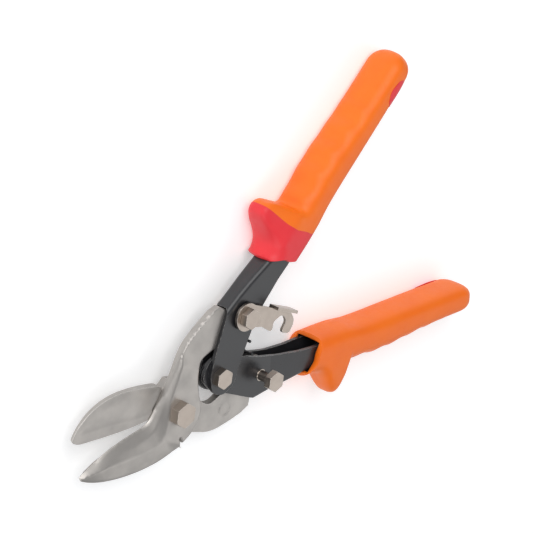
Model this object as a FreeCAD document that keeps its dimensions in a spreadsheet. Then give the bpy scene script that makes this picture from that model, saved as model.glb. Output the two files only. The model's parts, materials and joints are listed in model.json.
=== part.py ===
"""Compound-action aviation snips: two offset blades, two channel handles, a latch and two grips.

Frame: the origin lies on the main pivot axis, in the plane that the tool rests on.
+X runs back along the middle line between the handles, +Y goes to the latch handle,
and +Z comes out of the side with the bolt heads. The blades meet at the height `plane`.
"""
import FreeCAD, Part
import math
import os

Vector = FreeCAD.Vector
doc = FreeCAD.newDocument("aviation_snips")

# ---------------------------------------------------------------- driving dimensions, mm and degrees
DIMENSIONS = {
    "plane": 11.2, "blade_thick": 5.0, "blade_gap": 0.05,
    "pivot_to_handles": 27.58, "handle_link": 31.06, "open_angle": 39.4, "handle_angle": 23.5,
    "pivot_bolt_rad": 4.0, "pivot_hex": 11.2, "pivot_head": 4.7, "pivot_nut_hex": 13.0,
    "pivot_washer_rad": 8.5, "pivot_washer_thick": 0.8,
    "bolt_rad": 3.0, "bolt_hex": 9.0, "bolt_head": 3.6, "nut_hex": 9.6, "nut_high": 4.2,
    "running_gap": 0.05, "open_pivot_gap": 0.45,
    "plate_thick": 1.8, "outer_face": 5.625, "inner_face": 3.775,
    "fold_rad": 2.4, "flare_start": 37.0, "flare_end": 62.0, "channel_end": 160.0,
    "spacer_rad": 5.6, "bush_rad": 5.0, "latch_low": 6.6, "latch_thick": 1.5, "latch_ring": 7.0,
    "latch_tab_high": 6.0, "stud_rad": 2.6, "stud_neck": 6.8,
    "wire_rad": 0.7, "coil_rad": 7.0, "coil_rise": 2.2, "coil_turns": 1.5, "tang_back": 50.0,
    "grip_half": 11.1, "grip_corner": 5.5, "guard_crest": 32.5,
}

sheet = doc.addObject("Spreadsheet::Sheet", "Dims")
for row, (alias, number) in enumerate(DIMENSIONS.items(), start=1):
    sheet.set(f"A{row}", alias)
    sheet.set(f"B{row}", str(number))
    sheet.setAlias(f"B{row}", alias)
doc.recompute()


def cell(alias):
    """The number in a cell of the sheet."""
    return float(sheet.get(alias))


PLANE = cell("plane")
BEYOND = 100.0        # reach of a cutting tool well past every piece
SLOPE = math.radians(cell("handle_angle"))
OPEN = math.radians(cell("open_angle"))
LINK = cell("handle_link")
HANDLE_PIVOT = (cell("pivot_to_handles"), 0.0)
UPPER_LINK = (HANDLE_PIVOT[0] + LINK * math.cos(OPEN), LINK * math.sin(OPEN))
LOWER_LINK = (UPPER_LINK[0], -UPPER_LINK[1])
pieces = []


# ---------------------------------------------------------------- helpers
def keep(piece, label):
    """Marks a document object as a finished piece; its label names its file."""
    piece.Label = label
    pieces.append(piece)
    return piece


def feature(label, shape):
    """A finished piece from a shape made with Part, raised so that the blades meet at `plane`."""
    piece = doc.addObject("Part::Feature", label)
    piece.Shape = shape
    piece.Placement = FreeCAD.Placement(Vector(0, 0, PLANE), FreeCAD.Rotation())
    return keep(piece, label)


def bound(kind, name, **expressions):
    """A document object whose properties follow the sheet."""
    thing = doc.addObject(kind, name)
    for prop, expression in expressions.items():
        thing.setExpression(prop, expression)
    return thing


def place(thing, spot, height):
    """Puts a primitive on the vertical axis through spot, at an expression above the blades' plane."""
    thing.Placement = FreeCAD.Placement(Vector(spot[0], spot[1], 0), FreeCAD.Rotation())
    thing.setExpression("Placement.Base.z", "Dims.plane + " + height)


def outline(corners):
    """A closed wire through (x, y, radius) corners, each rounded by a tangent arc where radius > 0."""
    count = len(corners)
    cuts = []
    for index, (x, y, radius) in enumerate(corners):
        here = Vector(x, y, 0)
        before = Vector(corners[index - 1][0], corners[index - 1][1], 0)
        after = Vector(corners[(index + 1) % count][0], corners[(index + 1) % count][1], 0)
        to_before = (before - here).normalize()
        to_after = (after - here).normalize()
        turn = math.acos(max(-1.0, min(1.0, to_before.dot(to_after))))
        if radius <= 0 or turn > math.pi - 0.01:
            cuts.append((here, None, here))
            continue
        reach = radius / math.tan(turn / 2)
        middle = (to_before + to_after).normalize()
        bulge = radius / math.sin(turn / 2) - radius
        cuts.append((here + to_before * reach, here + middle * bulge, here + to_after * reach))
    edges = []
    for index, (start, top, end) in enumerate(cuts):
        if top is not None:
            edges.append(Part.Arc(start, top, end).toShape())
        following = cuts[(index + 1) % count][0]
        if end.distanceToPoint(following) > 1e-6:
            edges.append(Part.LineSegment(end, following).toShape())
    return Part.Wire(edges)


def plate(corners, low, high):
    """A flat plate with the given outline between two heights."""
    face = Part.Face(outline(corners))
    face.translate(Vector(0, 0, low))
    return face.extrude(Vector(0, 0, high - low))


def disc(spot, radius, low, high):
    """An upright round solid on a pivot axis."""
    return Part.makeCylinder(radius, high - low, Vector(spot[0], spot[1], low))


def slab(profile, angle):
    """A solid with a side profile of (distance, height) points, seen across the direction angle."""
    along = Vector(math.cos(angle), math.sin(angle), 0)
    across = Vector(-math.sin(angle), math.cos(angle), 0)
    points = [along * reach + Vector(0, 0, height) - across * BEYOND for reach, height in profile]
    face = Part.Face(Part.makePolygon(points + points[:1]))
    return face.extrude(across * (2 * BEYOND))


def handle_point(reach, out, side):
    """A point in a handle: reach back from the handle pivot and distance out from the middle."""
    return (HANDLE_PIVOT[0] + reach * math.cos(SLOPE) - out * math.sin(SLOPE),
            side * (reach * math.sin(SLOPE) + out * math.cos(SLOPE)))


def mirrored(corners):
    """The same outline on the other side of the middle line."""
    return [(x, -y, radius) for x, y, radius in corners]


# ---------------------------------------------------------------- blades
# the pivot boss, the neck and the tail of a blade, up to the end of the tail at its link pivot
TAIL_OUTLINE = [
    (-9.0, 1.5, 0), (-5.0, -12.0, 2), (-4.7, -15.3, 1), (4.0, -15.6, 9), (12.6, -9.6, 7),
    (13.9, 2.0, 14), (18.6, 13.8, 7), (25.0, 15.4, 6), (44.5, 12.3, 20),
    (UPPER_LINK[0] + 7.4, UPPER_LINK[1] - 7.4, 7.2), (UPPER_LINK[0] + 7.4, UPPER_LINK[1] + 7.1, 6.9),
    (44.0, 26.6, 0.8), (43.9, 29.5, 0.8), (41.4, 32.9, 1.5), (36.5, 33.2, 5), (27.0, 31.7, 30),
    (15.4, 28.6, 5), (6.3, 20.4, 9), (-3.0, 12.9, 9), (-9.0, 8.9, 0)]
# sections of the jaw on the bolt-head side: x, outer edge, crest, cutting edge, crest height, side height
NEAR_JAW = [
    (-61.0, 6.2, 7.9, 8.6, 1.9, 1.6),
    (-57.0, 2.0, 7.2, 8.9, 2.6, 2.0),
    (-50.0, -3.2, 5.6, 9.1, 3.4, 2.4),
    (-40.0, -9.0, 1.2, 8.9, 4.2, 2.8),
    (-28.5, -13.9, -4.1, 6.9, 4.9, 3.1),
    (-16.5, -17.4, -7.6, 4.4, 5.0, 3.3),
    (-12.5, -18.0, -6.6, 4.9, 5.0, 3.4),
    (-9.0, -18.3, 1.0, 8.9, 5.0, 3.4),
    (-4.7, -18.5, 7.0, 11.6, 5.0, 3.4)]
# sections of the other jaw, in the same order, with heights measured away from the meeting plane
FAR_JAW = [
    (-57.0, 28.4, 27.4, 26.2, 1.9, 1.6),
    (-54.5, 30.3, 27.5, 23.8, 2.4, 2.0),
    (-50.0, 32.4, 26.5, 21.4, 3.2, 2.2),
    (-43.0, 34.0, 24.5, 17.8, 4.4, 2.3),
    (-35.0, 33.8, 21.5, 13.8, 4.9, 2.4),
    (-26.3, 31.5, 17.0, 9.8, 5.0, 2.6),
    (-17.5, 27.3, 12.5, 6.3, 5.0, 3.2),
    (-9.0, 21.8, 8.5, 3.8, 5.0, 4.0),
    (-1.0, 16.2, 4.5, 2.0, 5.0, 4.6)]
THIN_START = 21.0
THIN_END = 28.0
NECK_ANGLE = math.radians(42.0)


def jaw(sections, side):
    """A tapering jaw through its sections; side is +1 above the meeting plane and -1 below it."""
    lip = 0.5
    wires = []
    for x, outer, crest, edge, crest_high, side_high in sections:
        points = [(outer, 0), (outer, side_high), (crest, crest_high), (edge, lip), (edge, 0)]
        vectors = [Vector(x, y, side * height) for y, height in points]
        wires.append(Part.makePolygon(vectors + vectors[:1]))
    return Part.makeLoft(wires, True, True)


def tail(side):
    """Pivot boss, neck and tail; the tail is ground thinner so that it fits in its handle."""
    thick = cell("blade_thick")
    gap = cell("blade_gap")
    thin = cell("inner_face")
    corners = TAIL_OUTLINE if side > 0 else mirrored(TAIL_OUTLINE)
    flat = plate(corners, gap, thick) if side > 0 else plate(corners, -thick, -gap)
    profile = [(-BEYOND, 0), (-BEYOND, thick), (THIN_START, thick),
               (THIN_END, thin), (BEYOND, thin), (BEYOND, 0)]
    return flat.common(slab([(reach, side * height) for reach, height in profile], side * NECK_ANGLE))


def near_blade():
    """The blade on the bolt-head side, with a bevel that runs up its neck and a relief slot."""
    thick = cell("blade_thick")
    body = tail(1).fuse(jaw(NEAR_JAW, 1))
    run = Vector(10.4, 15.6, 0)
    corner = [Vector(-9, 1, thick + 0.01), Vector(-9, 8.9, 0), Vector(-9, 15, thick + 0.01)]
    bevel = Part.Face(Part.makePolygon(corner + corner[:1])).extrude(run)
    slot = plate([(-5.2, -13.6, 0.55), (-4.0, -12.6, 0.55), (-3.8, -20, 0), (-5.2, -20, 0)], -1, BEYOND)
    under_corner = Vector(-BEYOND, -BEYOND, cell("blade_gap") - BEYOND)
    under = Part.makeBox(2 * BEYOND, 2 * BEYOND, BEYOND, under_corner)
    body = body.cut(bevel).cut(slot).cut(under)
    body = body.cut(disc((0, 0), cell("pivot_bolt_rad"), -BEYOND, BEYOND))
    body = body.cut(disc(UPPER_LINK, cell("bolt_rad") + cell("running_gap"), -BEYOND, BEYOND))
    return feature("near_blade", body.removeSplitter())


def hollow():
    """The shallow concave grind in the far jaw's meeting face."""
    rim = [(-52.5, 29.2, 1), (-44.0, 32.0, 10), (-35.0, 32.0, 16), (-26.3, 29.7, 20), (-17.0, 25.4, 12),
           (-7.2, 17.0, 3), (-8.4, 11.4, 2.5), (-16.9, 10.2, 6), (-35.0, 19.5, 30), (-44.9, 24.6, 20)]
    return plate(rim, -0.7, 1.0)


def far_blade():
    """The other blade: the same neck turned over, a hollow-ground jaw and a stamped ring."""
    body = tail(-1).fuse(jaw(FAR_JAW, -1).cut(hollow()))
    over = Part.makeBox(2 * BEYOND, 2 * BEYOND, BEYOND, Vector(-BEYOND, -BEYOND, -cell("blade_gap")))
    body = body.cut(over)
    mark = (27.6, -23.6)
    top = -cell("blade_gap")
    ring = disc(mark, 4.0, top - 0.4, top + 1).cut(disc(mark, 3.0, top - 0.4, top + 1))
    body = body.cut(ring)
    body = body.cut(disc((0, 0), cell("pivot_bolt_rad") + cell("running_gap"), -BEYOND, BEYOND))
    open_hole = cell("bolt_rad") + cell("open_pivot_gap")
    body = body.cut(disc(LOWER_LINK, open_hole, -BEYOND, BEYOND))
    return feature("far_blade", body.removeSplitter())


# ---------------------------------------------------------------- bolts, nuts, washers and spacers
def hexagon(name, spot, flats, low, high, up):
    """A hexagon between two heights (expressions), with its corners turned off at the outer end."""
    tall = f"({high}) - ({low})"
    prism = bound("Part::Prism", name + "_flats", Circumradius=f"{flats} / sqrt(3)", Height=tall)
    prism.Polygon = 6
    place(prism, spot, f"({low})")
    narrow = f"{flats} * 0.545"
    wide = f"{flats} * 0.545 + ({tall}) * 1.7"
    cone = bound("Part::Cone", name + "_turned", Height=tall,
                 Radius1=wide if up else narrow, Radius2=narrow if up else wide)
    place(cone, spot, f"({low})")
    shape = doc.addObject("Part::MultiCommon", name + "_hexagon")
    shape.Shapes = [prism, cone]
    return shape


def shank(name, spot, radius, low, high):
    """A round shank between two heights (expressions)."""
    round_bar = bound("Part::Cylinder", name, Radius=radius, Height=f"({high}) - ({low})")
    place(round_bar, spot, f"({low})")
    return round_bar


def bolt(label, spot, radius, flats, head_low, head_high, end):
    """A hexagon-head bolt that points down."""
    head = hexagon(label, spot, flats, head_low, head_high, True)
    bar = shank(label + "_shank", spot, radius, end, head_low)
    fused = doc.addObject("Part::MultiFuse", label)
    fused.Shapes = [head, bar]
    return keep(fused, label)


def ring(label, spot, inner, outer, low, high):
    """A washer, spacer or bush between two heights (expressions)."""
    body = shank(label + "_outside", spot, outer, low, high)
    hole = shank(label + "_hole", spot, inner, f"({low}) - 1", f"({high}) + 1")
    cut = doc.addObject("Part::Cut", label)
    cut.Base = body
    cut.Tool = hole
    return keep(cut, label)


def nut(label, spot, radius, flats, low, high):
    """A nut under the tool, screwed on the end of its bolt."""
    body = hexagon(label, spot, flats, low, high, False)
    hole = shank(label + "_thread", spot, radius, f"({low}) - 1", f"({high}) + 1")
    cut = doc.addObject("Part::Cut", label)
    cut.Base = body
    cut.Tool = hole
    return keep(cut, label)


def main_pivot():
    """The blades' own bolt, with a washer and a nut whose outer face is on the rest plane."""
    bolt("pivot_bolt", (0, 0), "Dims.pivot_bolt_rad", "Dims.pivot_hex",
         "Dims.blade_thick", "Dims.blade_thick + Dims.pivot_head", "-Dims.plane")
    under = "-Dims.blade_thick - Dims.pivot_washer_thick"
    ring("pivot_washer", (0, 0), "Dims.pivot_bolt_rad", "Dims.pivot_washer_rad", under, "-Dims.blade_thick")
    nut("pivot_nut", (0, 0), "Dims.pivot_bolt_rad", "Dims.pivot_nut_hex", "-Dims.plane", under)


def handle_pivot():
    """The bolt that the two handles turn on, with the bush that carries the spring."""
    nut_low = "-Dims.outer_face - Dims.nut_high"
    bolt("handle_pivot_bolt", HANDLE_PIVOT, "Dims.bolt_rad", "Dims.bolt_hex",
         "Dims.outer_face", "Dims.outer_face + Dims.bolt_head", nut_low)
    nut("handle_pivot_nut", HANDLE_PIVOT, "Dims.bolt_rad", "Dims.nut_hex", nut_low, "-Dims.outer_face")
    inside = "Dims.inner_face - Dims.plate_thick - Dims.running_gap"
    ring("spring_bush", HANDLE_PIVOT, "Dims.bolt_rad", "Dims.bush_rad", f"-({inside})", inside)


def upper_link():
    """The bolt through the upper handle, the near blade's tail and the latch."""
    nut_low = "-Dims.inner_face - Dims.nut_high"
    head_low = "Dims.latch_low + Dims.latch_thick + Dims.running_gap"
    bolt("upper_link_bolt", UPPER_LINK, "Dims.bolt_rad", "Dims.bolt_hex",
         head_low, head_low + " + Dims.bolt_head", nut_low)
    nut("upper_link_nut", UPPER_LINK, "Dims.bolt_rad", "Dims.nut_hex", nut_low, "-Dims.inner_face")
    ring("latch_washer", UPPER_LINK, "Dims.bolt_rad", "Dims.spacer_rad",
         "Dims.outer_face", "Dims.latch_low - Dims.running_gap")
    ring("upper_link_spacer", UPPER_LINK, "Dims.bolt_rad", "Dims.spacer_rad",
         "Dims.plate_thick - Dims.inner_face", "0")


def lower_link():
    """The stud through the lower handle and the far blade's tail; its neck is the latch's catch."""
    base = "Dims.inner_face"
    head_low = "Dims.inner_face + Dims.stud_neck"
    washer_low = "-Dims.outer_face - Dims.pivot_washer_thick"
    nut_low = washer_low + " - Dims.nut_high"
    head_high = head_low + " + Dims.bolt_head"
    head = hexagon("lower_link_stud", LOWER_LINK, "Dims.bolt_hex", head_low, head_high, True)
    neck = shank("lower_link_stud_neck", LOWER_LINK, "Dims.stud_rad", base, head_low)
    bar = shank("lower_link_stud_shank", LOWER_LINK, "Dims.bolt_rad", nut_low, base)
    fused = doc.addObject("Part::MultiFuse", "lower_link_stud")
    fused.Shapes = [head, neck, bar]
    keep(fused, "lower_link_stud")
    ring("lower_link_spacer", LOWER_LINK, "Dims.bolt_rad", "Dims.spacer_rad",
         "0", "Dims.inner_face - Dims.plate_thick")
    ring("lower_link_washer", LOWER_LINK, "Dims.bolt_rad", "Dims.spacer_rad", washer_low, "-Dims.outer_face")
    nut("lower_link_nut", LOWER_LINK, "Dims.bolt_rad", "Dims.nut_hex", nut_low, washer_low)


# ---------------------------------------------------------------- handles
# (low, high) faces of each channel at the pivots and inside the grip: each lies half outside the other
HANDLE_FACES = {
    1: ((-cell("inner_face"), cell("outer_face")), (-4.6, 7.0)),
    -1: ((-cell("outer_face"), cell("inner_face")), (-7.0, 7.0))}
# where the web starts behind the handle pivot, and how far out it stands there
WEB_START = 27.4
WEB_FRONT = 20.1
# distance back from the handle pivot and distance out to the web
WEB_LINE = [
    (-25.0, 27.8), (WEB_START, WEB_FRONT), (36.0, 18.8), (44.0, 17.5), (50.0, 16.3), (56.0, 15.0),
    (62.0, 14.0), (68.0, 13.4), (76.0, 13.1), (90.0, 13.1), (125.0, 13.3)]
WEB_OUTSIDE = 30.0


def across_handle(wire, reach, side):
    """Stands a wire of (out, height) points up across a handle."""
    across = Vector(-math.sin(SLOPE), side * math.cos(SLOPE), 0)
    spot = handle_point(reach, 0, side)
    turn = FreeCAD.Rotation(across, Vector(0, 0, 1), across.cross(Vector(0, 0, 1)), "ZXY")
    wire.Placement = FreeCAD.Placement(Vector(spot[0], spot[1], 0), turn)
    return wire


def channel_outline(side, lobe):
    """The side view of a channel handle: lobe round the handle pivot, then back into the grip."""
    front = [(40.6, 25.2, 20), (31.1, 14.8, 20), (22.6 - lobe, 4.2, 8), (20.4 - lobe, -4.6, 5)]
    bottom = [(25.6, -10.4, 6), (33.6, -9.9, 6), (42.8, 0.0, 12), (53.4, 9.3, 40)]
    end = cell("channel_end")
    spots = [(40.0, 0.9, 30), (54.0, 2.2, 20), (end, 2.0, 3), (end, WEB_OUTSIDE, 0),
             (WEB_START, WEB_OUTSIDE, 0), (WEB_START, WEB_FRONT, 0.6)]
    grip_run = [(*handle_point(reach, out, 1), radius) for reach, out, radius in spots]
    corners = front + bottom + grip_run
    return corners if side > 0 else mirrored(corners)


def rounded_box(side, inset, end):
    """A long box that follows the web, with rounded folds; inset moves every face inwards."""
    (low_front, high_front), (low_back, high_back) = HANDLE_FACES[side]
    start = cell("flare_start")
    stop = cell("flare_end")
    radius = cell("fold_rad") - inset
    sections = []
    for reach, out in WEB_LINE + [(end, 13.5)]:
        share = min(1.0, max(0.0, (reach - start) / (stop - start)))
        low = low_front + share * (low_back - low_front) + inset
        high = high_front + share * (high_back - high_front) - inset
        corners = [(-WEB_OUTSIDE, low, 0), (out - inset, low, radius), (out - inset, high, radius),
                   (-WEB_OUTSIDE, high, 0)]
        sections.append(across_handle(outline(corners), reach, side))
    return Part.makeLoft(sections, True, True)


def channel_core(side, lobe):
    """The outside of a channel, filled."""
    filled = plate(channel_outline(side, lobe), -BEYOND, BEYOND)
    return filled.common(rounded_box(side, 0.0, cell("channel_end")))


def front_hollow(side):
    """The gap between the plates ahead of the web."""
    wall = cell("plate_thick")
    low, high = HANDLE_FACES[side][0]
    inner = handle_point(WEB_START, WEB_FRONT - 3.1, 1)
    outer = handle_point(WEB_START, WEB_FRONT + 0.9, 1)
    corners = [(*inner, 0), (*outer, 0), (-20, 60, 0), (-20, -30, 0), (inner[0], -30, 0)]
    return plate(corners if side > 0 else mirrored(corners), low + wall, high - wall)


def channel(label, side, lobe, pivot_gap, link):
    """A folded sheet channel with its pivot holes."""
    wall = cell("plate_thick")
    shape = channel_core(side, lobe).cut(rounded_box(side, wall, cell("channel_end") - wall))
    shape = shape.cut(front_hollow(side))
    shape = shape.cut(disc(HANDLE_PIVOT, cell("bolt_rad") + pivot_gap, -BEYOND, BEYOND))
    shape = shape.cut(disc(link, cell("bolt_rad"), -BEYOND, BEYOND))
    return feature(label, shape.removeSplitter())


# ---------------------------------------------------------------- latch and spring
def latch():
    """A flat hook on the upper link bolt, with a thumb tab turned up along its outer edge."""
    low = cell("latch_low")
    high = low + cell("latch_thick")
    arm = [(54.0, 25.6, 4), (58.0, 22.4, 8), (66.2, 14.0, 0), (76.4, 3.6, 1.5), (77.0, -3.2, 5),
           (71.4, -6.8, 2.2), (67.0, -2.8, 1.6), (72.1, 0.2, 2.4), (71.9, 5.6, 2.9), (64.9, 5.9, 2.6),
           (62.2, 1.2, 1.5), (57.5, 8.9, 8), (51.0, 13.5, 6), (48.0, 19.0, 0)]
    body = disc(UPPER_LINK, cell("latch_ring"), low, high).fuse(plate(arm, low, high))
    edge = [(66.2, 14.0, 0), (76.4, 3.6, 0), (77.5, 4.7, 0), (67.3, 15.1, 0)]
    tab = plate(edge, low, low + cell("latch_tab_high"))
    hole = disc(UPPER_LINK, cell("bolt_rad") + cell("running_gap"), -BEYOND, BEYOND)
    body = body.fuse(tab).cut(hole)
    return feature("latch", body.removeSplitter())


def torsion_spring():
    """The opening spring: a coil on its bush, with a leg to each handle's inner edge."""
    wire = cell("wire_rad")
    coil = cell("coil_rad")
    rise = cell("coil_rise")
    x, y = HANDLE_PIVOT
    helix = Part.makeHelix(rise / cell("coil_turns"), rise, coil, 0, True)
    round_face = Part.Wire(Part.makeCircle(wire, Vector(coil, 0, 0), Vector(0, -1, 0)))
    coils = Part.Wire(helix).makePipeShell([round_face], True, True)
    coils.rotate(Vector(0, 0, 0), Vector(0, 0, 1), -90)
    coils.translate(Vector(x, y, -rise / 2))
    shape = coils
    bead = wire * 1.3
    for side in (-1, 1):
        start = Vector(x, side * coil, side * rise / 2)
        end = Vector(cell("tang_back"), side * 4.6, side * rise / 2)
        tang_top = cell("outer_face" if side > 0 else "inner_face") + 0.6
        leg = Part.makeCylinder(wire, start.distanceToPoint(end), start, end - start)
        tang = Part.makeCylinder(wire, tang_top - end.z, end, Vector(0, 0, 1))
        shape = shape.fuse([Part.makeSphere(bead, start), leg, Part.makeSphere(bead, end), tang])
    return feature("torsion_spring", shape)


# ---------------------------------------------------------------- grips
# sections of a grip: distance back, inner side and outer side in the handle's own plane, half thickness
GRIP_SECTIONS = [
    (50.0, 1.2, 17.6, 10.4), (62.0, 0.2, 17.0, 10.9), (80.0, -0.2, 16.6, 11.1), (104.0, -0.2, 17.4, 11.1),
    (130.0, 0.0, 16.2, 11.1), (150.0, 0.2, 15.0, 11.0), (170.0, 0.4, 14.6, 10.4), (177.5, 3.0, 12.0, 7.6)]


def grip_section(reach, inner, outer, half, side):
    """A rounded rectangle across the handle."""
    radius = min(cell("grip_corner"), half - 0.5, (outer - inner) / 2 - 0.5)
    flat = outline([(inner, -half, radius), (outer, -half, radius), (outer, half, radius), (inner, half, radius)])
    return across_handle(flat, reach, side)


def in_handle(points, side):
    """Outline corners given in the handle's own plane."""
    return [(*handle_point(reach, out, side), radius) for reach, out, radius in points]


def guard_solid(side):
    """The hand guard that stands out of the grip's outer side, rounded like a tongue."""
    crest = cell("guard_crest")
    view = [(58.0, 12.0, 0), (60.5, 17.5, 8), (66.5, 23.0, 10), (71.0, crest, 3), (80.5, crest, 3),
            (83.0, 20.0, 6), (88.0, 14.0, 0), (86.0, 9.0, 0)]
    half = cell("grip_half")
    body = plate(in_handle(view, side), -half, half)
    tongue = outline([(-10, -half, 0), (crest - 3, -half, 8), (crest + 2, 0, 9),
                      (crest - 3, half, 8), (-10, half, 0)])
    along = Vector(math.cos(SLOPE), side * math.sin(SLOPE), 0)
    return body.common(Part.Face(across_handle(tongue, 0, side)).extrude(along * (2 * BEYOND)))


def grip_parts(side):
    """The whole grip, split into its main body, its two-colour front and its end inlay."""
    sections = [grip_section(*section, side) for section in GRIP_SECTIONS]
    whole = Part.makeLoft(sections, True, False).fuse(guard_solid(side))
    front = in_handle([(40, -20, 0), (70, -6, 0), (53, 24, 0), (40, 30, 0)], side)
    whole = whole.cut(plate(front, -BEYOND, BEYOND))
    whole = whole.cut(channel_core(side, 0))
    colour_line = [(30, -20, 0), (83, -20, 0), (82, -0.5, 0), (76.6, 13, 0), (76.3, 50, 0), (30, 50, 0)]
    guard = whole.common(plate(in_handle(colour_line, side), -BEYOND, BEYOND))
    view = [(151.5, -4, 3), (153.0, 5.2, 4), (158.0, 8.0, 5), (166.0, 6.6, 4), (169.0, -4, 3)]
    patch = plate(in_handle(view, side), 8.6 if side > 0 else -BEYOND, BEYOND if side > 0 else -8.6)
    inlay = whole.common(patch)
    body = whole.cut(guard).cut(patch)
    return body, guard, inlay


def grip(name, side):
    """A soft grip in three moulded pieces."""
    body, guard, inlay = grip_parts(side)
    feature(name, body)
    feature(name + "_guard", guard)
    feature(name + "_inlay", inlay)


# ---------------------------------------------------------------- the assembly
near_blade()
far_blade()
main_pivot()
channel("upper_handle", 1, 0.0, 0.0, UPPER_LINK)
channel("lower_handle", -1, 1.6, cell("running_gap"), LOWER_LINK)
handle_pivot()
upper_link()
lower_link()
latch()
torsion_spring()
grip("upper_grip", 1)
grip("lower_grip", -1)

doc.recompute()
for thing in doc.Objects:
    if "Invalid" in thing.State or "Error" in thing.State:
        raise RuntimeError(f"{thing.Label} failed to recompute: {thing.State}")
for piece in pieces:
    if piece.Shape.isNull() or not piece.Shape.isValid() or piece.Shape.Volume <= 0:
        raise RuntimeError(f"{piece.Label} is not a valid shape")

os.makedirs("parts", exist_ok=True)
for piece in pieces:
    piece.Shape.exportStep(f"parts/{piece.Label}.step")
    print(f"{piece.Label}: {len(piece.Shape.Solids)} solid(s), {piece.Shape.Volume:.0f} mm3")
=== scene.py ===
"""Looks for the aviation snips: materials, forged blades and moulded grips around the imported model."""
import json
import math

import bpy
import mathutils
import numpy as np
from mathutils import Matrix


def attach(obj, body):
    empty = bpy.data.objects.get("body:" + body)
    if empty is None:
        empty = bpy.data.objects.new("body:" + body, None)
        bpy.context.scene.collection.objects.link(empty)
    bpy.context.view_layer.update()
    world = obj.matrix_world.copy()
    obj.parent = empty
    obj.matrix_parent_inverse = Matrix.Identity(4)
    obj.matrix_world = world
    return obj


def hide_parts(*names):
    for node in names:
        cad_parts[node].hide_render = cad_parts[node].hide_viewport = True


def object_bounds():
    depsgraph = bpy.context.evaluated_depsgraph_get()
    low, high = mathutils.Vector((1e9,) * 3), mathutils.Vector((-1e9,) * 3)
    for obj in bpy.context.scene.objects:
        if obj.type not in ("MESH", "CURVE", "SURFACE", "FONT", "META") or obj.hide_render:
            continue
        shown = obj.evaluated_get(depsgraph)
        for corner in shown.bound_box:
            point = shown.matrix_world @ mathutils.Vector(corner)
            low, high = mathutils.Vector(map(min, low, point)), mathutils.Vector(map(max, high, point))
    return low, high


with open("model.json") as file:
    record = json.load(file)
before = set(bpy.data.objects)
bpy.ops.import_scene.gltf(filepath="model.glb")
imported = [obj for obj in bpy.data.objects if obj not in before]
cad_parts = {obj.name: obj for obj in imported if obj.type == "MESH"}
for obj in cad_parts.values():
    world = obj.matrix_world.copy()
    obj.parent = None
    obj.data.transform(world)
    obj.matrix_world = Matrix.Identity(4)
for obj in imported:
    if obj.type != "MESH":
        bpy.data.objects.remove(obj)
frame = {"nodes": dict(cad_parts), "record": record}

Vector = mathutils.Vector
cad_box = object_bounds()
MM = 0.001

ROOT = "upper_handle_body"
LOWER = "lower_handle_body"


# ---------------------------------------------------------------- places read from the frame
def joint_place(name):
    """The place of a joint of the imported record."""
    for joint in frame["record"]["behaviour"]["joints"]:
        if joint["name"] == name:
            return Vector(joint["pos_m"])
    raise KeyError(name)


HANDLE_PIVOT = joint_place("handles")
PLANE = HANDLE_PIVOT.z            # the height at which the blades meet
HANDLE_ANGLE = math.radians(23.5)     # how far each handle leans out from the middle line
LINK_SPOT = tuple(coordinate / MM for coordinate in joint_place("near_blade_link")[:2])    # mm
FLOOR_DROP = 0.0002               # how far the floor lies under the model, m


# ---------------------------------------------------------------- camera, light and floor
def make_camera():
    """A long lens, rolled so that the tool stands up in the frame."""
    data = bpy.data.cameras.new("camera")
    camera = bpy.data.objects.new("camera", data)
    bpy.context.collection.objects.link(camera)
    data.sensor_width = 36.0
    data.lens = 242.5
    data.clip_end = 20.0
    place = Vector((-0.6912, 1.0961, 1.0827))
    target = Vector((0.07664, 0.02847, 0.0112))
    up_hint = Vector((0.5962, 0.7404, -0.3105))
    back = (place - target).normalized()
    right = up_hint.cross(back).normalized()
    up = back.cross(right)
    turn = mathutils.Matrix((right, up, back)).transposed().to_4x4()
    camera.matrix_world = mathutils.Matrix.Translation(place) @ turn
    bpy.context.scene.camera = camera


def area_light(name, place, target, size, watts):
    """A square soft light that points at a target."""
    data = bpy.data.lights.new(name, "AREA")
    data.shape = "SQUARE"
    data.size = size
    data.energy = watts
    light = bpy.data.objects.new(name, data)
    bpy.context.collection.objects.link(light)
    light.location = place
    aim = Vector(target) - Vector(place)
    light.rotation_euler = aim.to_track_quat("-Z", "Y").to_euler()


def make_light():
    """Soft studio light: a weak panel over the far side, a broad key, a side light and an even sky."""
    middle = Vector((0.06, 0.0, 0.02))
    area_light("panel", middle + Vector((0.50, -0.70, 0.75)), middle, 1.1, 3.2)
    area_light("key", middle + Vector((-0.14, 1.05, 0.90)), middle, 1.2, 13.0)
    area_light("side", middle + Vector((-1.10, 0.05, 0.45)), middle, 0.5, 3.0)
    world = bpy.data.worlds.new("studio")
    world.use_nodes = True
    background = world.node_tree.nodes["Background"]
    background.inputs["Color"].default_value = (0.95, 0.97, 1.0, 1)
    background.inputs["Strength"].default_value = 0.40
    bpy.context.scene.world = world
    bpy.context.scene.view_settings.view_transform = "Standard"


def make_floor():
    """A plain pale floor under the tool."""
    bpy.ops.mesh.primitive_plane_add(size=6.0, location=(0, 0, cad_box[0][2] - FLOOR_DROP))
    floor = bpy.context.object
    floor.name = "floor"
    material = bpy.data.materials.new("floor")
    material.use_nodes = True
    shader = material.node_tree.nodes["Principled BSDF"]
    shader.inputs["Base Color"].default_value = (0.90, 0.90, 0.90, 1)
    shader.inputs["Roughness"].default_value = 0.9
    shader.inputs["Emission Color"].default_value = (1.0, 1.0, 1.0, 1)
    shader.inputs["Emission Strength"].default_value = 0.28
    floor.data.materials.append(material)


# ---------------------------------------------------------------- materials
BEVEL_SAMPLES = 6


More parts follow.
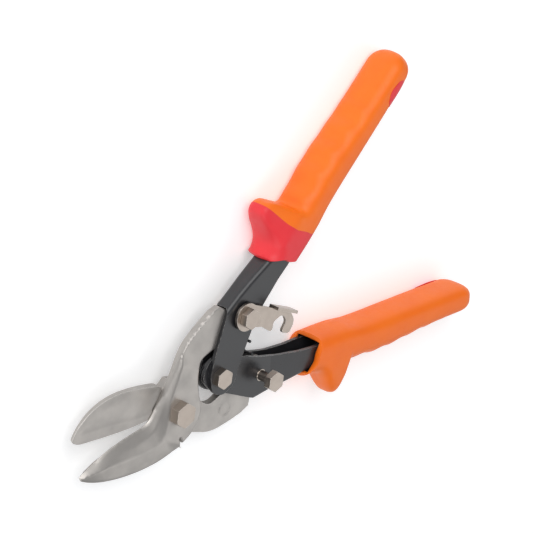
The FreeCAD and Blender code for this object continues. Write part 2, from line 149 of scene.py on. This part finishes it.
class Look:
    """A node material that is built up layer by layer."""

    def __init__(self, name, colour, roughness, metallic=0.0):
        self.material = bpy.data.materials.new(name)
        self.material.use_nodes = True
        self.tree = self.material.node_tree
        self.shader = self.tree.nodes["Principled BSDF"]
        self.shader.inputs["Metallic"].default_value = metallic
        self.coords = self.tree.nodes.new("ShaderNodeTexCoord").outputs["Object"]
        self.colour = self.constant_colour(colour)
        self.shader.inputs["Roughness"].default_value = roughness

    def constant_colour(self, colour):
        """A colour socket."""
        node = self.tree.nodes.new("ShaderNodeRGB")
        node.outputs[0].default_value = (*colour, 1)
        return node.outputs[0]

    def noise(self, scale, detail=4.0):
        """Noise from 0 to 1; scale is in cycles per metre."""
        node = self.tree.nodes.new("ShaderNodeTexNoise")
        node.inputs["Scale"].default_value = scale
        node.inputs["Detail"].default_value = detail
        node.inputs["Roughness"].default_value = 0.55
        self.tree.links.new(self.coords, node.inputs["Vector"])
        return node.outputs["Fac"]

    def ramp(self, source, low, high, to_low=0.0, to_high=1.0):
        """Maps a value range on another one, clamped."""
        node = self.tree.nodes.new("ShaderNodeMapRange")
        node.inputs["From Min"].default_value = low
        node.inputs["From Max"].default_value = high
        node.inputs["To Min"].default_value = to_low
        node.inputs["To Max"].default_value = to_high
        self.tree.links.new(source, node.inputs["Value"])
        return node.outputs["Result"]

    def rounded(self, radius):
        """A normal that rounds sharp edges by a radius."""
        bevel = self.tree.nodes.new("ShaderNodeBevel")
        bevel.samples = BEVEL_SAMPLES
        bevel.inputs["Radius"].default_value = radius
        return bevel.outputs["Normal"]

    def edges(self, radius, low=0.02, high=0.25):
        """1 on sharp edges and 0 on flats, from the turn between the rounded normal and the true one."""
        geometry = self.tree.nodes.new("ShaderNodeNewGeometry")
        dot = self.tree.nodes.new("ShaderNodeVectorMath")
        dot.operation = "DOT_PRODUCT"
        self.tree.links.new(self.rounded(radius), dot.inputs[0])
        self.tree.links.new(geometry.outputs["Normal"], dot.inputs[1])
        return self.ramp(dot.outputs["Value"], 1.0 - low, 1.0 - high)

    def times(self, first, second):
        """The product of two values."""
        node = self.tree.nodes.new("ShaderNodeMath")
        node.operation = "MULTIPLY"
        for socket, value in zip(node.inputs, (first, second)):
            if isinstance(value, (int, float)):
                socket.default_value = value
            else:
                self.tree.links.new(value, socket)
        return node.outputs[0]

    def tint(self, mask, colour):
        """Mixes a colour in where the mask is 1."""
        node = self.tree.nodes.new("ShaderNodeMix")
        node.data_type = "RGBA"
        self.tree.links.new(mask, node.inputs["Factor"])
        self.tree.links.new(self.colour, node.inputs[6])
        node.inputs[7].default_value = (*colour, 1)
        self.colour = node.outputs[2]

    def rough(self, source, low, high):
        """Lets the roughness follow a value from 0 to 1."""
        self.tree.links.new(self.ramp(source, 0.25, 0.75, low, high), self.shader.inputs["Roughness"])

    def bump(self, source, height, normal=None):
        """A bump of a height in metres."""
        node = self.tree.nodes.new("ShaderNodeBump")
        node.inputs["Strength"].default_value = 1.0
        node.inputs["Distance"].default_value = height
        self.tree.links.new(source, node.inputs["Height"])
        if normal is not None:
            self.tree.links.new(normal, node.inputs["Normal"])
        self.tree.links.new(node.outputs["Normal"], self.shader.inputs["Normal"])

    def done(self):
        """Joins the colour to the shader and returns the material."""
        self.tree.links.new(self.colour, self.shader.inputs["Base Color"])
        return self.material


def blade_material():
    """A blasted steel forging, with a painted highlight along its sharp edges."""
    look = Look("blade_steel", (0.42, 0.395, 0.37), 0.42, metallic=0.85)
    cloud = look.noise(90, detail=3)
    grain = look.noise(5200, detail=2)
    look.tint(look.ramp(cloud, 0.35, 0.7, 0.0, 0.5), (0.33, 0.315, 0.30))
    # painted highlight: a pale tint along the sharp edges stands in for the light caught on rounded edges
    edge = look.edges(0.9 * MM, 0.03, 0.3)
    look.tint(look.times(edge, 0.9), (0.80, 0.77, 0.73))
    look.rough(cloud, 0.34, 0.5)
    look.bump(grain, 0.00002, look.rounded(0.45 * MM))
    return look.done()


def plated_material():
    """Nickel plate with a warm tone, a little clouded, with a painted highlight along its sharp edges."""
    look = Look("plated_steel", (0.42, 0.365, 0.32), 0.3, metallic=1.0)
    cloud = look.noise(260, detail=4)
    look.tint(look.ramp(cloud, 0.4, 0.75, 0.0, 0.35), (0.35, 0.30, 0.26))
    # painted highlight: a pale tint along the sharp edges of the bolt heads and nuts
    look.tint(look.times(look.edges(0.5 * MM), 0.8), (0.78, 0.73, 0.67))
    look.rough(cloud, 0.27, 0.38)
    look.bump(look.noise(2600, detail=2), 0.00001, look.rounded(0.25 * MM))
    return look.done()


def paint_material():
    """Satin black paint, pale in patches along its sheared edges: partly rubbed wear, partly a painted
    highlight.
    """
    look = Look("black_paint", (0.016, 0.016, 0.018), 0.36)
    look.shader.inputs["Specular IOR Level"].default_value = 0.6
    cloud = look.noise(160, detail=3)
    look.tint(look.ramp(cloud, 0.4, 0.8, 0.0, 0.5), (0.026, 0.026, 0.029))
    # pale patches along the sheared edges: partly rubbed wear, partly a painted highlight
    wear_and_sheen_patches = look.ramp(look.noise(420, detail=5), 0.38, 0.6)
    look.tint(look.times(look.edges(0.35 * MM, 0.08, 0.3), wear_and_sheen_patches), (0.62, 0.60, 0.57))
    look.rough(cloud, 0.27, 0.36)
    look.bump(look.noise(3000, detail=2), 0.000008, look.rounded(0.3 * MM))
    return look.done()


def spring_material():
    """Black oxide wire."""
    look = Look("spring_steel", (0.02, 0.02, 0.022), 0.32, metallic=0.6)
    cloud = look.noise(500)
    look.tint(look.ramp(cloud, 0.45, 0.8), (0.07, 0.07, 0.075))
    look.rough(cloud, 0.25, 0.45)
    return look.done()


def grip_material(name, colour, deep):
    """Moulded soft plastic with a fine spark-eroded grain."""
    look = Look(name, colour, 0.5)
    look.shader.inputs["Specular IOR Level"].default_value = 0.35
    cloud = look.noise(70, detail=2)
    look.tint(look.ramp(cloud, 0.35, 0.75, 0.0, 0.55), deep)
    look.rough(look.noise(400), 0.36, 0.5)
    look.bump(look.noise(4200, detail=2), 0.00002)
    look.shader.inputs["Subsurface Weight"].default_value = 0.06
    look.shader.inputs["Subsurface Scale"].default_value = 0.002
    return look.done()


def dress(node, material):
    """Gives a CAD node its material."""
    thing = frame["nodes"][node]
    thing.data.materials.clear()
    thing.data.materials.append(material)


# ---------------------------------------------------------------- meshes
def new_piece(name, points, faces):
    """A new mesh object, selected and active."""
    mesh = bpy.data.meshes.new(name)
    mesh.from_pydata(points, [], faces)
    mesh.update()
    thing = bpy.data.objects.new(name, mesh)
    bpy.context.collection.objects.link(thing)
    bpy.context.view_layer.objects.active = thing
    bpy.ops.object.select_all(action="DESELECT")
    thing.select_set(True)
    return thing


def stand_in(piece, node, body, slot, *materials):
    """Puts a piece in the place of a CAD node, on the same body, with its materials."""
    for material in materials:
        piece.data.materials.append(material)
    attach(piece, body)
    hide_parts(node)


# ---------------------------------------------------------------- forged blades
# outlines of the near blade, in mm; the far blade's tail is the same one turned over
HEEL = [(-9.0, 8.9), (-3.0, 12.9), (6.3, 20.4), (15.4, 28.6), (27.0, 31.7), (36.5, 33.2)]
TAIL_END = [(41.4, 32.9), (43.9, 29.5), (44.0, 26.6), (58.2, 26.6), (58.7, 19.5), (58.0, 13.5),
            (52.5, 12.4), (44.5, 12.3)]
THROAT = [(44.5, 12.3), (25.0, 15.4), (18.6, 13.8), (13.9, 2.0), (12.6, -9.6), (4.0, -15.6), (-3.9, -16.6)]
SLOT_CUT = [(-3.9, -13.2), (-4.4, -12.8), (-4.9, -13.2), (-5.2, -19.4)]
NEAR_EDGE = [(-60.6, 8.1), (-57.0, 8.9), (-50.0, 9.1), (-40.0, 8.9), (-28.5, 6.9), (-18.5, 4.6),
             (-14.0, 5.4)]
NEAR_BACK = [(-5.3, -18.2), (-16.5, -17.4), (-28.5, -13.9), (-40.0, -9.0), (-50.0, -3.2), (-57.0, 2.0),
             (-60.6, 5.9)]
FAR_EDGE = [(-56.8, 26.5), (-54.5, 23.8), (-50.0, 21.4), (-43.0, 17.8), (-35.0, 13.8), (-26.3, 9.8),
            (-17.5, 6.3), (-9.0, 3.8)]
FAR_BACK = [(-1.0, 16.2), (-9.0, 21.8), (-17.5, 27.3), (-26.3, 31.5), (-35.0, 33.8), (-43.0, 34.0),
            (-50.0, 32.4), (-54.5, 30.3), (-56.9, 28.4)]
THICK = 5.0
THIN = 3.775                      # thickness of a tail inside its handle
THIN_START = 21.0                 # where the slope down to the tail starts along the neck
THIN_RUN = 7.0
NECK_ANGLE = math.radians(42)
BLADE_GAP = 0.05                  # from each blade's face to the plane where they meet
PIVOT_RADIUS = 4.0
LINK_RADIUS = 3.0
RUNNING_GAP = 0.05
OPEN_PIVOT_GAP = 0.45             # room in the far blade's link hole, which has no joint of its own
STAMP = (27.6, -23.6)             # the ring stamped in the far blade's tail
STAMP_RADIUS = 3.5
STAMP_DEPTH = 0.3
HOLLOW_DEPTH = 0.65
NET = 0.8                         # spacing of the net that fills a blade


def smooth_line(points):
    """An open line with its corners cut three times."""
    for _ in range(3):
        cut = [points[0]]
        for (x0, y0), (x1, y1) in zip(points, points[1:]):
            cut.append((0.75 * x0 + 0.25 * x1, 0.75 * y0 + 0.25 * y1))
            cut.append((0.25 * x0 + 0.75 * x1, 0.25 * y0 + 0.75 * y1))
        points = cut + [points[-1]]
    return points


def resample(points, step):
    """The same open line with points at an even distance."""
    line = [points[0]]
    for (x0, y0), (x1, y1) in zip(points, points[1:]):
        length = math.hypot(x1 - x0, y1 - y0)
        pieces = max(1, round(length / step))
        for index in range(1, pieces + 1):
            line.append((x0 + (x1 - x0) * index / pieces, y0 + (y1 - y0) * index / pieces))
    return line


def gap_to(lines, spots):
    """The distance from every spot to the nearest of some open lines."""
    best = np.full(len(spots), 1e9)
    for line in lines:
        starts = np.array(line[:-1])
        steps = np.array(line[1:]) - starts
        for start, step in zip(starts, steps):
            away = spots - start
            along = np.clip((away @ step) / (step @ step), 0, 1)
            best = np.minimum(best, np.hypot(*(away - np.outer(along, step)).T))
    return best


def soft_min(first, second, blend):
    """The lower of two heights, rounded where they meet."""
    near = np.clip(0.5 + 0.5 * (second - first) / blend, 0, 1)
    return second * (1 - near) + first * near - blend * near * (1 - near)


def hole_loop(x, y, radius):
    """A round hole's outline, as 48 points."""
    turns = [index * math.pi / 24 for index in range(48)]
    return [(x + radius * math.cos(turn), y + radius * math.sin(turn)) for turn in turns]


def net_inside(loops):
    """The points of a triangular net that lie inside the outer loop and outside its holes."""
    border = np.array([point for loop in loops for point in loop])
    low = border.min(axis=0)
    high = border.max(axis=0)
    columns = np.arange(low[0], high[0], NET)
    rows = np.arange(low[1], high[1], NET * 0.866)
    net = np.array([(x + (NET / 2 if index % 2 else 0), y) for index, y in enumerate(rows) for x in columns])
    gap = gap_to([loop + loop[:1] for loop in loops], net)
    inside = np.zeros(len(net), bool)
    for loop in loops:
        ring = np.array(loop)
        for (x0, y0), (x1, y1) in zip(ring, np.roll(ring, -1, axis=0)):
            crosses = (net[:, 1] > y0) != (net[:, 1] > y1)
            if crosses.any():
                cut = x0 + (net[:, 1] - y0) * (x1 - x0) / (y1 - y0)
                inside ^= crosses & (net[:, 0] < cut)
    return net[inside & (gap > 0.4 * NET)]


def both_sides(faces, count):
    """Upper faces, the same faces below them, and walls where a face has no neighbour."""
    skins = [tuple(face) for face in faces]
    skins += [tuple(count + corner for corner in face[::-1]) for face in faces]
    pairs = [(face[index], face[(index + 1) % len(face)]) for face in faces for index in range(len(face))]
    known = set(pairs)
    for first, second in pairs:
        if (second, first) not in known:
            skins.append((second, first, count + first, count + second))
    return skins


def blade_mesh(name, rim, holes, top, bottom):
    """A forged blade: its outline filled with a fine net, raised to a top and a bottom surface."""
    loops = [resample(rim + rim[:1], 0.7)[:-1]] + [hole_loop(*hole) for hole in holes]
    edges = []
    points = []
    for loop in loops:
        first = len(points)
        points += loop
        edges += [(first + index, first + (index + 1) % len(loop)) for index in range(len(loop))]
    plan = [Vector(point) for point in points] + [Vector(point) for point in net_inside(loops)]
    spots, _, faces, *_ = mathutils.geometry.delaunay_2d_cdt(plan, edges, [], 2, 1e-5)
    flat = np.array([tuple(spot) for spot in spots])
    corners = [(x * MM, y * MM, PLANE + z * MM) for (x, y), z in zip(flat, top(flat))]
    corners += [(x * MM, y * MM, PLANE + z * MM) for (x, y), z in zip(flat, bottom(flat))]
    thing = new_piece(name, corners, both_sides(faces, len(flat)))
    bpy.ops.object.shade_smooth_by_angle(angle=math.radians(32))
    return thing


def tail_height(flat, side):
    """Full thickness at the boss, ground down to the tail's thickness along the neck."""
    run = flat[:, 0] * math.cos(NECK_ANGLE) + side * flat[:, 1] * math.sin(NECK_ANGLE)
    share = np.clip((run - THIN_START) / THIN_RUN, 0, 1)
    return THICK + (THIN - THICK) * share * share * (3 - 2 * share)


def near_profile(flat):
    """The near blade's outer surface, from the cutting edge: strip, bevel, crest and sloping back."""
    gap = gap_to([smooth_line(NEAR_EDGE + HEEL)], flat)
    to_back = gap_to([smooth_line(NEAR_BACK)], flat)
    along = flat[:, 0]
    stops = [-61, -50, -41, -28, -16, -9, -3, 8, 30]
    strip_wide = np.interp(along, stops, [0.4, 1.9, 3.6, 5.5, 4.7, 2.8, 1.0, 0.6, 0.5])
    strip_high = np.interp(along, stops, [1.0, 1.9, 2.6, 3.2, 3.2, 2.9, 3.2, 3.8, 3.8])
    crest_away = np.interp(along, stops, [1.2, 3.4, 7.2, 11.4, 13.0, 8.5, 3.4, 2.0, 1.8])
    lip = np.interp(along, [-61, -20, -9, -3, 8], [0.5, 0.5, 0.9, 2.2, 3.0])
    crest = np.interp(along, [-61, -57, -50, -40, -28, -16], [1.7, 2.5, 3.4, 4.3, 4.9, 5.0])
    ground = lip + (strip_high - lip) * gap / strip_wide
    bevel = strip_high + (crest - strip_high) * (gap - strip_wide) / (crest_away - strip_wide)
    side_low = np.interp(along, [-61, -50, -28, -10, -5], [1.3, 2.4, 3.1, 3.4, 4.0])
    slope = np.interp(along, [-61, -50, -28, -12, -4], [0.3, 0.2, 0.16, 0.16, 0.4])
    height = soft_min(soft_min(ground, bevel, 0.12), side_low + slope * to_back, 0.3)
    return soft_min(height, tail_height(flat, 1), 0.35)


def worn_edge(flat, rim, height, round_off):
    """Rounds a surface off towards the blade's outline."""
    share = np.clip(1 - gap_to([rim + rim[:1]], flat) / round_off, 0, 1)
    return height - round_off * 0.5 * share * share


def make_near_blade(material):
    """The blade on the bolt-head side."""
    rim = (smooth_line(NEAR_EDGE + HEEL) + smooth_line(TAIL_END)[1:] + smooth_line(THROAT)[1:]
           + SLOT_CUT + smooth_line(NEAR_BACK)[1:])
    holes = [(0, 0, PIVOT_RADIUS), (*LINK_SPOT, LINK_RADIUS + RUNNING_GAP)]

    def top(flat):
        return worn_edge(flat, rim, near_profile(flat), 0.7)

    def bottom(flat):
        return np.full(len(flat), BLADE_GAP)

    blade = blade_mesh("near_blade_forging", rim, holes, top, bottom)
    stand_in(blade, "near_blade", "near_blade_body", "blade_steel", material)


def turned_over(points):
    """The same outline on the other side of the middle line, in the other order."""
    return [(x, -y) for x, y in points[::-1]]


def make_far_blade(material):
    """The hollow-ground blade under it, with a stamped ring on its tail."""
    throat = turned_over(THROAT)
    shoulder = [(throat[0][0] + 1.5, 13.6), (throat[1][0], 15.6)]
    rim = (smooth_line(FAR_BACK[::-1] + shoulder)
           + smooth_line(throat[1:])[1:] + smooth_line(turned_over(TAIL_END))[1:]
           + smooth_line(turned_over(HEEL) + [(-9.0, -4.0)] + FAR_EDGE[::-1])[1:])
    holes = [(0, 0, PIVOT_RADIUS + RUNNING_GAP),
             (LINK_SPOT[0], -LINK_SPOT[1], LINK_RADIUS + OPEN_PIVOT_GAP)]
    edge_line = smooth_line(FAR_EDGE)
    back_line = smooth_line(FAR_BACK)

    def top(flat):
        along = flat[:, 0]
        strip = np.interp(along, [-54, -45, -35, -17], [4.4, 4.7, 4.9, 2.8])
        from_edge = (gap_to([edge_line], flat) - strip) * 1.6
        from_back = gap_to([back_line], flat) - 0.9
        from_root = along * -0.82 + flat[:, 1] * 0.57 - 11.0
        from_tip = along + 53.5
        inside = np.minimum.reduce([from_edge, from_back, from_root, from_tip])
        share = np.clip(inside / 5.0, 0, 1)
        height = -BLADE_GAP - HOLLOW_DEPTH * (1 - (1 - share) ** 1.6)
        ring_gap = np.abs(np.hypot(along - STAMP[0], flat[:, 1] - STAMP[1]) - STAMP_RADIUS)
        return height - STAMP_DEPTH * np.clip(1.4 - ring_gap / 0.4, 0, 1)

    def bottom(flat):
        along = flat[:, 0]
        crest = np.interp(along, [-57, -50, -35, -20], [1.8, 3.4, 4.8, 5.0])
        slope = 0.5 + 0.42 * gap_to([edge_line], flat)
        band = np.interp(along, [-57, -43, -20, -1], [1.3, 2.1, 2.9, 4.6]) + 0.12 * gap_to([back_line], flat)
        jaw = soft_min(soft_min(slope, band, 0.3), crest, 0.3)
        shape = np.where(along < -2, jaw, THICK)
        return -soft_min(shape, tail_height(flat, -1), 0.3)

    blade = blade_mesh("far_blade_forging", rim, holes, top, bottom)
    stand_in(blade, "far_blade", "far_blade_body", "blade_steel", material)


# ---------------------------------------------------------------- curves
def curve(knots, place):
    """A smooth value between (place, value) knots."""
    if place <= knots[0][0]:
        return knots[0][1]
    for (p0, v0), (p1, v1) in zip(knots, knots[1:]):
        if place <= p1:
            share = (place - p0) / (p1 - p0)
            return v0 + (v1 - v0) * share * share * (3 - 2 * share)
    return knots[-1][1]


def spline(knots, place):
    """A value on a Catmull-Rom curve through (place, value) knots."""
    count = len(knots)
    if place <= knots[0][0]:
        return knots[0][1]
    if place >= knots[-1][0]:
        return knots[-1][1]
    index = 0
    while knots[index + 1][0] < place:
        index += 1
    p0, v0 = knots[index]
    p1, v1 = knots[index + 1]
    before = knots[max(index - 1, 0)]
    after = knots[min(index + 2, count - 1)]
    slope0 = (v1 - before[1]) / (p1 - before[0]) if index > 0 else (v1 - v0) / (p1 - p0)
    slope1 = (after[1] - v0) / (after[0] - p0) if index + 2 < count else (v1 - v0) / (p1 - p0)
    width = p1 - p0
    t = (place - p0) / width
    return ((2 * t ** 3 - 3 * t ** 2 + 1) * v0 + (t ** 3 - 2 * t ** 2 + t) * width * slope0
            + (3 * t ** 2 - 2 * t ** 3) * v1 + (t ** 3 - t ** 2) * width * slope1)


# profiles along a grip: mm back from the handle pivot, and mm out from the handle's middle line
BODY_SIDE = [(88, 17.0), (98, 17.4), (109, 17.9), (120, 17.2), (131, 16.1), (142, 15.2), (155, 14.7),
             (166, 14.5), (178, 14.2)]
GUARD_SIDE = {
    1: [(50, 20.2), (54, 19.4), (58, 17.2), (61.5, 17.2), (65, 19.4), (68, 24.4), (70.3, 30.0), (72.8, 33.4),
        (76.3, 34.0), (80, 31.0), (82.6, 24.0), (84.8, 18.6)],
    -1: [(50, 18.6), (54, 18.0), (59, 17.2), (64, 17.2), (68, 18.8), (71.5, 23.4), (74.5, 28.8),
         (77.5, 32.0), (80.5, 32.0), (83.4, 27.4), (85.2, 21.4), (86.4, 18.0)]}
# how much of the half thickness is left at the guard's crest, on the near and the far side
GUARD_NARROW = {1: (0.62, 0.92), -1: (0.92, 0.40)}
INNER_SIDE = [(50, -1.2), (84, -1.4), (98, 0.0), (125, 0.1), (150, 0.1), (176, 0.3)]
HALF_THICK = [(50, 10.4), (60, 10.7), (76, 11.0), (90, 10.9), (110, 11.0), (140, 11.0), (176, 10.9)]
# lines that lean across a grip: mm out from the middle line, and mm back from the handle pivot
FRONT_LINE = [(-2, 66.5), (8, 62.8), (16, 58.0), (20, 56.0)]
COLOUR_LINE = [(-2, 82.5), (6, 79.6), (13, 76.9), (20, 76.2), (33, 76.6)]
BODY_START = 90.0                 # where the sections stand square across the grip
STRAIGHT_LINE = [(-30, BODY_START), (40, BODY_START)]
END = 177.2
CAP = 10.0                        # length of the rounded end
RING = 96                         # points round a section
GUARD_RISE = 10.0                 # a guard this much higher than the grip has its full corners
TONGUE_START = 15.5               # how far out a guard starts to narrow, and over what distance
TONGUE_RUN = 17.0
ROUND_INNER = 3.2                 # powers of the rounded sections: 2 is an ellipse, more is squarer
ROUND_OUTER = 2.5
ROUND_GUARD = 1.2                 # added over the guard
ROUND_END = 2.3
WAVE_HIGH = 0.7                   # finger waves along the body, faded in and out
WAVE_START = 91.0
WAVE_PITCH = 13.0
WAVE_FADE = [(84, 0), (90, 1), (142, 1), (150, 0)]
# the mouth: lowest and highest wall on each grip, its inner and outer wall, and steps from inside to lip
MOUTH_UP = {1: (-5.2, 7.3), -1: (-7.3, 7.3)}
MOUTH_OUT = (1.2, 14.4)
MOUTH_STEPS = [(14.0, 1.0), (0.6, 1.0), (-0.2, 0.93), (-0.6, 0.75), (-0.5, 0.35), (-0.2, 0.12)]


def grip_profile(reach, side):
    """What a section at a distance back is made from, in mm."""
    wave = WAVE_HIGH * math.cos(2 * math.pi * (reach - WAVE_START) / WAVE_PITCH) * curve(WAVE_FADE, reach)
    shrink = 1.0
    if reach > END - CAP:
        share = min(1.0, (reach - END + CAP) / CAP)
        shrink = (1 - share ** ROUND_END) ** (1 / ROUND_END)
    outer = spline(GUARD_SIDE[side] + BODY_SIDE, reach)
    base = spline([(50, 17.0), (84, 17.0)] + BODY_SIDE, reach)
    return outer, base, spline(INNER_SIDE, reach), spline(HALF_THICK, reach), wave, shrink


def ring_point(profile, index, side):
    """One point of a section, as (out, up) in mm."""
    outer, base, inner, half, wave, shrink = profile
    angle = 2 * math.pi * index / RING
    cosine, sine = math.cos(angle), math.sin(angle)
    middle = (base + inner) / 2
    guard = min(1.0, max(0.0, (outer - base) / GUARD_RISE))
    power = 2 / (ROUND_OUTER + ROUND_GUARD * guard) if cosine > 0 else 2 / ROUND_INNER
    across = math.copysign(abs(cosine) ** power, cosine)
    up = math.copysign(abs(sine) ** power, sine)
    wide = outer - middle + wave * cosine ** 2 if cosine > 0 else middle - inner
    out = middle + wide * across * shrink
    if outer <= base + 0.5:
        return out, half * up * shrink
    tongue = min(1.0, max(0.0, (out - TONGUE_START) / TONGUE_RUN))
    narrow = 1 - (1 - GUARD_NARROW[side][0 if up > 0 else 1]) * tongue * (2 - tongue)
    return out, half * up * shrink * narrow


def grip_ring(reach, side):
    """The section at a distance back: a list of (out, up) points in mm."""
    profile = grip_profile(reach, side)
    return [ring_point(profile, index, side) for index in range(RING)]


def grip_point(reach, out, up, side):
    """A point of a grip in the frame, from mm in the handle's own directions."""
    return Vector((HANDLE_PIVOT.x + (reach * math.cos(HANDLE_ANGLE) - out * math.sin(HANDLE_ANGLE)) * MM,
                   side * (reach * math.sin(HANDLE_ANGLE) + out * math.cos(HANDLE_ANGLE)) * MM,
                   PLANE + up * MM))


def skin(name, rings):
    """A closed mesh through rings of points, with both ends capped."""
    count = len(rings[0])
    points = [point for ring in rings for point in ring]
    faces = []
    for level in range(len(rings) - 1):
        for index in range(count):
            following = (index + 1) % count
            base = level * count
            faces.append((base + index, base + following, base + count + following, base + count + index))
    last = len(points) - count
    faces.append(tuple(range(count - 1, -1, -1)))
    faces.append(tuple(range(last, last + count)))
    thing = new_piece(name, points, faces)
    bpy.ops.object.mode_set(mode="EDIT")
    bpy.ops.mesh.select_all(action="SELECT")
    bpy.ops.mesh.normals_make_consistent(inside=False)
    bpy.ops.object.mode_set(mode="OBJECT")
    bpy.ops.object.shade_smooth_by_angle(angle=math.radians(40))
    return thing


def leaning_ring(line_a, line_b, share, side):
    """A ring on the surface between two lines that lean across the grip, as (reach, out, up) points."""
    ring = []
    for index in range(RING):
        reach = 70.0
        for _ in range(14):         # slides the point along the grip until it lies between the lines
            out, _ = ring_point(grip_profile(reach, side), index, side)
            wanted = (1 - share) * curve(line_a, out) + share * curve(line_b, out)
            reach += 0.5 * (wanted - reach)
        ring.append((reach, *ring_point(grip_profile(reach, side), index, side)))
    return ring


def mouth_rings(lip, side):
    """Rings from inside a grip's mouth out to its lip."""
    low, high = MOUTH_UP[side]
    rings = []
    for depth, share in MOUTH_STEPS:
        ring = []
        for reach, out, up in lip:
            wall_out = min(max(out, MOUTH_OUT[0]), MOUTH_OUT[1])
            wall_up = min(max(up * 0.9, low), high)
            ring.append((reach + depth, out + (wall_out - out) * share, up + (wall_up - up) * share))
        rings.append(ring)
    return rings


def in_frame(rings, side):
    """Rings of (reach, out, up) as points of the frame."""
    return [[grip_point(*point, side) for point in ring] for ring in rings]


def make_guard(name, side, body, slot, colour, dark):
    """The front of a grip with its hand guard, and a dark mouth round the channel: black like the channel
    plates inside it, and painted shade for the gap.
    """
    steps = 40
    front = [leaning_ring(FRONT_LINE, COLOUR_LINE, step / steps, side) for step in range(steps + 1)]
    guard = skin(name + "_guard_skin", in_frame(mouth_rings(front[0], side) + front, side))
    stand_in(guard, name + "_guard", body, slot, colour, dark)
    count = len(guard.data.polygons)
    for index, face in enumerate(guard.data.polygons):
        # painted shade: the mouth's deepest wall and its cap take the black paint, standing in for the
        # shadow in the gap round the channel
        if index < RING or index == count - 2:      # the mouth's deepest wall and its cap
            face.material_index = 1


def make_body(name, side, body, colour):
    """The long part of a grip behind the colour line, with finger waves and a rounded end."""
    steps = 28
    rings = [leaning_ring(COLOUR_LINE, STRAIGHT_LINE, step / steps, side) for step in range(steps + 1)]
    stations = [BODY_START + 0.5 + 0.8 * step for step in range(94)]
    stations += [END - CAP * math.cos(math.pi / 2 * step / 26) for step in range(1, 26)]
    for reach in stations + [END - 0.004]:
        rings.append([(reach, out, up) for out, up in grip_ring(reach, side)])
    main = skin(name + "_skin", in_frame(rings, side))
    stand_in(main, name, body, "orange_grip", colour)


# ---------------------------------------------------------------- the scene
make_camera()
make_light()
make_floor()

steel = blade_material()
plated = plated_material()
paint = paint_material()
oxide = spring_material()
orange = grip_material("orange_grip", (0.90, 0.17, 0.006), (0.84, 0.135, 0.005))
red = grip_material("red_grip", (0.76, 0.035, 0.045), (0.68, 0.026, 0.036))

finishes = {"blade_steel": steel, "plated_steel": plated, "black_paint": paint, "spring_steel": oxide,
            "orange_grip": orange, "red_grip": red}
for part in frame["record"]["subparts"]:
    dress(part["node"], finishes[part["material_slot"]])

make_near_blade(steel)
make_far_blade(steel)
make_guard("upper_grip", 1, ROOT, "red_grip", red, paint)
make_body("upper_grip", 1, ROOT, orange)
make_guard("lower_grip", -1, LOWER, "orange_grip", orange, paint)
make_body("lower_grip", -1, LOWER, orange)
